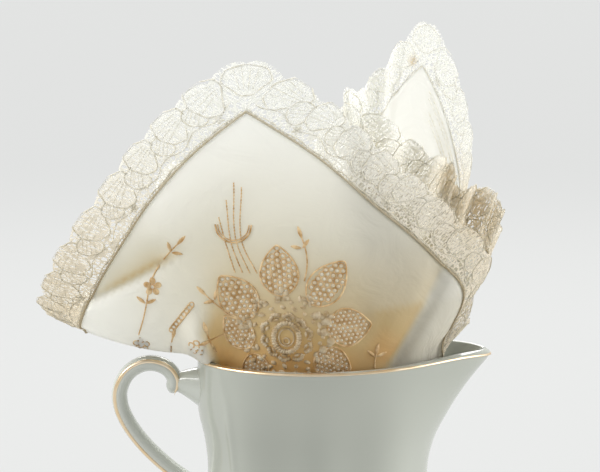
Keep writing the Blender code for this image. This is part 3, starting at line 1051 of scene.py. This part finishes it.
DRUM = {"vertices": 12, "radius": 1.0, "depth": 0.5, "location": (0.0, 0.0, 0.25)}
CONE = {"vertices": 8, "radius1": 1.0, "radius2": 0.75, "depth": 1.0, "location": (0.0, 0.0, 0.5)}
RING = {"major_radius": 1.0, "major_segments": 12, "minor_segments": 5}
SATIN = modelled(bpy.ops.mesh.primitive_cylinder_add, domed, **DRUM)
EYELET = modelled(bpy.ops.mesh.primitive_torus_add, minor_radius=0.26, **RING)
NET_HOLE = modelled(bpy.ops.mesh.primitive_torus_add, minor_radius=0.27, **RING)
SEED = modelled(bpy.ops.mesh.primitive_cone_add, **CONE)


def set_at(shape, x, y, turn=0.0, long=1.0, wide=1.0, high=1.0, point=0.0, lift=0.0):
    """A copy of a unit shape at a flat place. turn is in degrees; point narrows its two ends."""
    points, faces = shape
    along = points[:, 0] * long
    across = points[:, 1] * wide * (1.0 - point * points[:, 0] ** 2)
    c, s = math.cos(math.radians(turn)), math.sin(math.radians(turn))
    made = [x + c * along - s * across, y + s * along + c * across, lift + points[:, 2] * high]
    return np.stack(made, axis=1), faces


def line(points, radius, pitch=0.4, beads=0.0, bead_pitch=0.9, closed=False, sides=5, lift=0.0):
    """A stitched line through a few flat points. beads: how much it swells at each stitch."""
    points = np.asarray(points, float)
    if closed:
        points = np.concatenate([points, points[:1]])
    gaps = np.concatenate([[0.0], np.cumsum(np.linalg.norm(np.diff(points, axis=0), axis=1))])
    count = max(int(gaps[-1] / pitch), 4)
    at = np.linspace(0.0, gaps[-1], count + 1)
    if len(points) > 2:
        path = np.stack([smooth_curve(at, gaps, points[:, k]) for k in (0, 1)], axis=1)
    else:
        path = points[0] + (points[1] - points[0]) * (at / gaps[-1])[:, None]
    if closed:
        path, at = path[:-1], at[:-1]
    swell = radius * (1.0 + beads * np.cos(TURN * at / bead_pitch))
    return tube(np.column_stack([path, np.full(len(path), lift)]), swell, closed, sides)


def ring_of(count, radius, start=0.0):
    """Places and directions in degrees of count things round a centre."""
    turns = start + np.arange(count) * 360.0 / count
    spots = np.stack([np.cos(np.radians(turns)), np.sin(np.radians(turns))], axis=1) * radius
    return list(zip(spots, turns))


def knot_flower(x, y, size, high=0.45):
    """A small flower of round satin petals about an open eyelet."""
    parts = [
        set_at(SATIN, x + dx, y + dy, turn, 0.5 * size, 0.42 * size, high)
        for (dx, dy), turn in ring_of(5, 0.8 * size, 90.0)
    ]
    return parts + [set_at(EYELET, x, y, 0.0, 0.3 * size, 0.3 * size, 0.5, lift=0.2)]


def stitched(name, parts, look):
    """Lays shapes, seen from the front and measured from the flower, on the front of the cloth."""
    points, faces = gathered(parts)
    around, share = front_place(points[:, 0] + FLOWER[0], points[:, 1] + FLOWER[1])
    made = piece(name, on_cloth(around, share, points[:, 2] + CLOTH_THICKNESS / 2.0), faces, look)
    return made


# Embroidery in one corner: an open flower with net-filled petals, a fan, sprigs and an eyelet rod.
# Petals are placed round the flower's heart by the direction and reach of their tips and feet.
PETALS = (
    ("angle", "reach", "foot_angle", "foot_reach", "width", "net"),
    (96.0, 32.0, 97.0, 14.5, 13.0, 2.0),
    (138.0, 30.5, 150.0, 13.0, 13.5, 2.0),
    (54.0, 33.0, 55.0, 14.5, 12.0, 2.0),
    (10.0, 29.0, 12.0, 14.0, 13.5, 1.6),
    (164.0, 22.0, 200.0, 13.0, 10.0, 1.6),
    (-28.0, 24.5, -34.0, 11.5, 11.5, 1.6),
    (223.0, 20.5, 236.0, 11.5, 10.0, 1.6),
)
# A sprig is a bowed stem with a leaf at its tip and pairs of leaves below it.
SPRIGS = (
    ("foot_x", "foot_z", "tip_x", "tip_z", "bow", "pairs"),
    (6.0, 20.0, 5.0, 35.0, -1.4, 1),
    (-46.0, 19.0, -37.0, 31.5, 0.6, 1),
    (-51.5, -2.0, -47.5, 14.0, -0.4, 1),
    (-15.0, 5.5, -28.0, 14.0, 1.0, 1),
    (-24.5, -7.0, -27.5, 0.5, 0.3, 0),
    (-20.5, 0.0, -26.5, -2.5, 0.0, 0),
    (-40.5, -8.5, -39.5, -2.5, 0.2, 0),
    (30.0, -11.5, 30.5, -6.0, 0.2, 1),
)
FAN_HEIGHTS = (41.0, 47.0, 53.0, 51.5)
EYELET_ROD = ((-32.5, 10.2), (-39.9, 0.3))


FAN_BOWL = np.array([-18.0, 38.5])
FAN_BOWL_RADIUS = 6.2
ROD_EYELETS = 9


def polar(degrees, reach):
    return reach * np.array([math.cos(math.radians(degrees)), math.sin(math.radians(degrees))])


def left_of(way):
    """The direction to the left of a way in the plane."""
    return np.array([-way[1], way[0]])


def sprig(foot, tip, bow, pairs):
    """A stem with its leaves, as stitches."""
    foot, tip = np.array(foot), np.array(tip)
    way = tip - foot
    across = left_of(way) / np.linalg.norm(way)
    share = np.linspace(0.0, 1.0, 5)
    path = foot + np.outer(share, way) + np.outer(4.0 * bow * share * (1.0 - share), across)
    end = path[-1] - path[-2]
    turn = math.degrees(math.atan2(end[1], end[0]))
    leaves = [(path[-1] + unit(end) * 1.6, turn, 2.3, 0.65)]
    for pair in range(pairs):
        spot = foot + way * (0.74 - 0.3 * pair)
        for side in (-55.0, 60.0):
            leaves.append((spot + polar(turn + side, 2.1), turn + side, 1.9, 0.62))
    return [line(path, 0.25, beads=0.2, lift=0.12)] + [
        set_at(SATIN, *spot, lean, long, wide, 0.6, point=0.45) for spot, lean, long, wide in leaves
    ]


def half_width(share, width):
    return 0.5 * width * np.sin(math.pi * np.asarray(share) ** 0.82) ** 0.72


def petal_outline(base, tip, width, steps=36):
    """A pointed petal between its base and its tip."""
    share = np.linspace(0.0, 1.0, steps // 2 + 1)
    way = tip - base
    across = unit(left_of(way))
    middle, out = base + np.outer(share, way), np.outer(half_width(share, width), across)
    return np.concatenate([middle + out, (middle - out)[-2:0:-1]])


def net_places(base, tip, width, net):
    """Centres of the eyelets of a petal's filling, in staggered and slightly uneven rows."""
    length = np.linalg.norm(tip - base)
    way = (tip - base) / length
    found = []
    rows = int(0.5 * width / (net * 0.87))
    for row in range(-rows, rows + 1):
        for k in range(int(length / net) + 1):
            along = (k + 0.5 * (row % 2) + 0.35) * net
            across = row * net * 0.87
            if 0.0 < along < length and abs(across) < half_width(along / length, width) - 0.4 * net:
                along += 0.09 * net * math.sin(7.1 * k + 3.3 * row)
                across += 0.09 * net * math.cos(5.3 * k + 4.7 * row)
                found.append(base + along * way + across * left_of(way))
    return found


def embroidery(floss, grey_floss, pale_floss):
    """The worked corner: the flower's petals and their pale seeds, its heart, and the sprigs."""
    petals, seeds = [], []
    for angle, reach, foot_angle, foot_reach, width, net in PETALS[1:]:
        base, tip = polar(foot_angle, foot_reach), polar(angle, reach)
        outline = petal_outline(base, tip, width)
        petals.append(line(outline, 0.3, beads=0.2, closed=True, lift=0.15))
        for x, y in net_places(base, tip, width, net):
            petals.append(set_at(NET_HOLE, x, y, 0.0, 0.46 * net, 0.46 * net, 0.3 * net, lift=0.1))
            seeds.append(set_at(SEED, x, y, 0.0, 0.33 * net, 0.33 * net, 0.42))
    return [
        stitched("embroidery_petals", petals, floss),
        stitched("embroidery_seeds", seeds, pale_floss),
        stitched("embroidery_heart", heart_work(), grey_floss),
        stitched("embroidery_sprigs", sprig_work(), floss),
    ]


def heart_work():
    """The flower's heart: a corded oval, arcs and rings of satin stitch, and a row of flowers."""
    oval = np.array([spot * (1.0, 1.2) for spot, _ in ring_of(32, 4.3)])
    heart = [
        line(oval, 0.85, pitch=0.25, beads=0.28, closed=True, sides=7, lift=0.3),
        line(oval * 0.6, 0.3, closed=True, lift=0.2),
        set_at(EYELET, 0.0, -1.2, 0.0, 1.0, 1.1, 0.9, lift=0.25),
    ]
    for k, (spot, turn) in enumerate(ring_of(10, 8.2, 12.0)):
        spot = spot * (1.0 + 0.06 * math.sin(5.0 * k))
        bend = unit(left_of(spot)) * 2.0
        arc = np.array([spot * 0.9 - bend, spot * 1.04, spot * 0.9 + bend])
        heart.append(line(arc, 0.7, pitch=0.3, beads=0.3, sides=6, lift=0.15))
        heart.append(set_at(SATIN, *(spot * 0.82), turn + 80.0, 1.1, 0.5, 0.9, point=0.4))
    for count, radius, lean in ((17, 10.9, 60.0), (18, 12.6, 100.0), (22, 14.4, 15.0)):
        for k, (spot, turn) in enumerate(ring_of(count, radius, 5.0 * radius)):
            spot = spot * (1.0 + 0.05 * math.sin(7.0 * k + count))
            size = 1.0 + 0.25 * math.sin(4.0 * k + radius)
            turn = turn + lean + 25.0 * math.sin(3.0 * k)
            heart.append(set_at(SATIN, *spot, turn, size, 0.7, 0.75, point=0.3))
    for k in range(5):
        heart += knot_flower(*polar(28.0 + 34.0 * k, 15.2), 2.1 - 0.4 * (k % 2), high=0.65)
        spot = polar(14.0 * k - 18.0, 13.0 + 2.0 * (k % 2))
        heart.append(set_at(SATIN, *spot, 0.0, 1.4, 1.4, 1.1))
    return heart


def sprig_work():
    """The sprigs, the fan with its bowl, a small flower, two rings of eyelets, and the rod."""
    sprigs = []
    for foot_x, foot_z, tip_x, tip_z, bow, pairs in SPRIGS[1:]:
        sprigs += sprig((foot_x, foot_z), (tip_x, tip_z), bow, pairs)
    for k, top in enumerate(FAN_HEIGHTS):
        tine = ((2.6 * k - 23.0, top), (1.9 * k - 20.5, 31.5), (2.5 * k - 17.5, 22.0))
        sprigs.append(line(tine, 0.2, pitch=0.25, beads=0.45, bead_pitch=1.1, lift=0.1))
    for inset, thick in ((0.0, 0.32), (0.13, 0.2)):
        reach = FAN_BOWL_RADIUS * (1.0 - inset)
        bowl = [FAN_BOWL + polar(180.0 + 30.0 * k, reach) for k in range(7)]
        sprigs.append(line(bowl, thick, beads=0.15, lift=0.18))
    sprigs += knot_flower(-46.0, 16.0, 2.5)
    for x, z in ((-50.8, -6.2), (-31.0, -5.2)):
        for (dx, dz), _ in ring_of(5, 1.9, 90.0):
            sprigs.append(set_at(EYELET, x + dx, z + dz, 0.0, 1.0, 1.0, 0.45, lift=0.1))
    start, end = np.array(EYELET_ROD)
    across = left_of(unit(end - start))
    for side in (-0.85, 0.85):
        rail = [start + side * across, end + side * across]
        sprigs.append(line(rail, 0.26, beads=0.2, lift=0.12))
    for k in range(ROD_EYELETS):
        spot = start + (end - start) * k / (ROD_EYELETS - 1)
        sprigs.append(set_at(EYELET, *spot, 0.0, 0.75, 0.75, 0.5, lift=0.12))
    return sprigs


# Lace work on the net: overlapping leaves, small flowers and two wavy lines, drawn-thread rows in
# the lawn beside the back corner, and the braid along the heading.
BRAID_STEP = 0.45
BRAID_RADIUS = 0.37
OUTLINE_RADIUS, VEIN_RADIUS = 0.22, 0.08
WAVY_LINE_INSET = 16.0
DRAWN_ROWS = (18.6, 20.4, 23.4, 25.2)
DRAWN_LENGTH = 92.0


def laid_flat(name, parts, look, lift, worn=0.0):
    """Lays shapes that are measured on the whole flat cloth on the outer side of the drape."""
    points, faces = gathered(parts)
    around, share = flat_place(points[:, 0], points[:, 1])
    made = piece(name, on_cloth(around, share, points[:, 2] + lift), faces, look)
    lace_age_and_shade(made, around, share, worn)
    return made


def on_side(side, shape):
    """Moves a shape from a side's own places, along and outward, to the flat cloth."""
    points, faces = shape
    x, y = from_corner(side, points[:, 0], -points[:, 1])
    return np.column_stack([x, y, points[:, 2]]), faces


def uncovered(edge, over):
    """The stretch of a leaf's outline that the next leaf leaves open, and whether it is whole."""
    middle, size, turn = over
    local = turned(edge - middle, -turn)
    clear = np.hypot(local[:, 0], local[:, 1] / LEAF_FLATNESS) > size
    if clear.all():
        return edge, True
    first = int(np.flatnonzero(clear & ~np.roll(clear, 1))[0])
    edge, clear = np.roll(edge, -first, axis=0), np.roll(clear, -first)
    return edge[: int(np.argmin(clear)) + 1], False


def leaf_cords(middle, size, turn, lean, over):
    """A leaf's outline, as far as no other leaf lies over it, and its four veins."""
    edge = middle + turned(leaf_outline(size, lean), turn)
    edge, whole = uncovered(edge, over) if over else (edge, True)
    cords = [line(edge, OUTLINE_RADIUS, pitch=0.9, closed=whole, sides=4)]
    for spread in (-36.0, -12.0, 12.0, 36.0):
        tilt = math.radians(spread)
        way = size * np.array([math.sin(tilt), LEAF_FLATNESS * math.cos(tilt)])
        foot = np.array([0.5 * lean + spread / 24.0, -0.6 * size])
        vein = middle + turned(np.array([foot, 0.5 * foot + 0.4 * way, 0.84 * way]), turn)
        cords.append(line(vein, VEIN_RADIUS, pitch=1.2, sides=4))
    return cords


def lace_work(gimp, braid):
    """The worked parts of the edging, in two pieces."""
    cords = []
    for side in range(4):
        *leaves, corner = lace_leaves(side)
        for (middle, size, turn), over in zip(leaves, leaves[1:] + [None]):
            cords += leaf_cords(middle, size, turn, LEAF_LEAN * size / LEAF_SIZE, over)
        cords += leaf_cords(*corner, 0.0, None)
        for k in range(2, SCALLOPS_PER_SIDE - 1, 3):
            shapes = knot_flower((k + 0.3) * SCALLOP, -12.9, 1.2, high=0.3)
            cords += [on_side(side, shape) for shape in shapes]
        steps = np.arange(WAVY_LINE_INSET, SIDE - WAVY_LINE_INSET, 1.6)
        for depth, rise, wave, thick in ((12.0, 1.0, SCALLOP, 0.16), (15.0, 0.25, 1.9, 0.2)):
            wavy = np.column_stack([steps, -depth - rise * np.sin(TURN * steps / wave)])
            cords.append(on_side(side, line(wavy, thick, pitch=0.8, sides=4)))
    for inward in DRAWN_ROWS:
        steps = np.arange(SIDE - DRAWN_LENGTH, SIDE - 1.2 * inward, 2.0)
        row = np.column_stack([steps, np.full(len(steps), -inward)])
        cords.append(on_side(1, line(row, 0.18, beads=0.7, bead_pitch=1.6, lift=-0.4)))
    made = [laid_flat("lace_gimp", cords, gimp, 0.12)]

    along = np.arange(HEADING, SIDE - HEADING - 0.2, BRAID_STEP)
    inward = np.full(len(along), HEADING)
    path = np.concatenate([from_corner(side, along, inward).T for side in range(4)])
    swell = 1.0 + 0.22 * np.cos(TURN * np.arange(len(path)) * BRAID_STEP / 1.35)
    path = np.column_stack([path, np.zeros(len(path))])
    cord = tube(path, BRAID_RADIUS * swell, True, 6)
    made.append(laid_flat("heading_braid", [cord], braid, 0.35, worn=0.32))
    return made


# Light, floor and camera. Lamps are placed in metres, with their power in watts.
LAMPS = (
    ("name", "place", "aim", "size", "power"),
    ("key_softbox", (-0.8, -0.15, 0.7), (-0.02, 0.0, 0.12), 0.5, 6.8),
    ("fill_softbox", (0.85, -0.2, 0.35), (0.02, 0.0, 0.1), 0.5, 5.3),
    ("back_softbox", (0.0, 0.75, 0.75), (0.0, 0.0, 0.16), 0.7, 11.0),
)


def stage():
    """A pale floor that runs into a pale room, and soft lamps round the object."""
    bpy.ops.object.select_all(action="DESELECT")
    bpy.ops.mesh.primitive_plane_add(size=24.0, location=(0.0, 0.0, -0.0002))
    floor = bpy.context.object
    floor.name = "studio_floor"
    glow = {"Emission Color": linear("#E6E7E6"), "Emission Strength": 0.88, "Roughness": 0.9}
    made, tree, shader = finish("matt white studio paper", glow)
    grain = add(tree, "ShaderNodeTexNoise", {"Scale": 3.0}).outputs["Fac"]
    join(tree, shader, {"Base Color": ramp(tree, grain, (0.0, "#292A29"), (1.0, "#2B2C2B"))})
    floor.data.materials.append(made)

    world = bpy.data.worlds.new("pale studio room")
    world.use_nodes = True
    sky = world.node_tree.nodes["Background"]
    sky.inputs["Color"].default_value = linear("#F2F3F2")
    tree = world.node_tree
    way = add(tree, "ShaderNodeTexCoord").outputs["Generated"]
    back = add(tree, "ShaderNodeSeparateXYZ", {}, {0: way}).outputs["Y"]
    level = add(tree, "ShaderNodeMapRange", {1: -1.0, 2: 0.7, 3: 0.36, 4: 0.85}, {0: back})
    join(tree, sky, {"Strength": level.outputs[0]})
    bpy.context.scene.world = world

    for name, place, aim, size, power in LAMPS[1:]:
        data = bpy.data.lights.new(name, "AREA")
        data.size, data.energy = size, power
        lamp = bpy.data.objects.new(name, data)
        bpy.context.scene.collection.objects.link(lamp)
        turned_to(lamp, place, aim)


def turned_to(obj, place, aim):
    """Puts a lamp or camera at a place and turns it to look at a point."""
    obj.location = place
    way = Vector(aim) - Vector(place)
    obj.rotation_euler = way.to_track_quat("-Z", "Y").to_euler()


SENSOR_WIDTH, LENS = 36.0, 120.0
CAMERA_AIM = np.array([-6.0, 0.0, 140.0])
CAMERA_RISE = math.radians(9.0)
CAMERA_DISTANCE = 700.0


def camera():
    """The photograph's view: a long lens, a little above the rim."""
    data = bpy.data.cameras.new("camera")
    data.sensor_width, data.lens = SENSOR_WIDTH, LENS
    data.clip_start, data.clip_end = 0.05, 60.0
    eye = bpy.data.objects.new("camera", data)
    bpy.context.scene.collection.objects.link(eye)
    back = np.array([0.0, -math.cos(CAMERA_RISE), math.sin(CAMERA_RISE)]) * CAMERA_DISTANCE
    turned_to(eye, tuple((CAMERA_AIM + back) * MM), tuple(CAMERA_AIM * MM))
    bpy.context.scene.camera = eye


bpy.context.scene.view_settings.view_transform = "Standard"
gold = gilding()
# The body's grey tones are painted shade on white porcelain; the handle's copy is painted lighter,
# as lit.
jug_body(porcelain("white porcelain, painted grey as shaded", "#AEB1A7", "#B8BBB1"))
handle(porcelain("white porcelain, painted lighter as lit", "#CCCFC6", "#D6D9D0"), gold)
rim_line(gold)
ground = handkerchief(lawn())
net = lace(lace_net())
floss = thread("stranded cotton floss, tan", "#FCE4B6", "#D2A86C", 0.3)
grey_floss = thread("stranded cotton floss, faded", "#F0E2C4", "#C8AD80", 0.3)
pale_floss = thread("stranded cotton floss, pale", "#FFFAEC", "#FFEFD2", 0.3)
# The gimp's and braid's last colours paint shade low down at the front, and one real stain.
gimp = thread("cotton gimp, cream", "#FFFEFA", "#F4F1E6", 0.45, "#D6C9A2")
braid = thread("cotton braid, ecru", "#F6F3E6", "#E6E2CF", 0.3, "#A88F58")
worked = embroidery(floss, grey_floss, pale_floss)
edging = lace_work(gimp, braid)
stage()
camera()
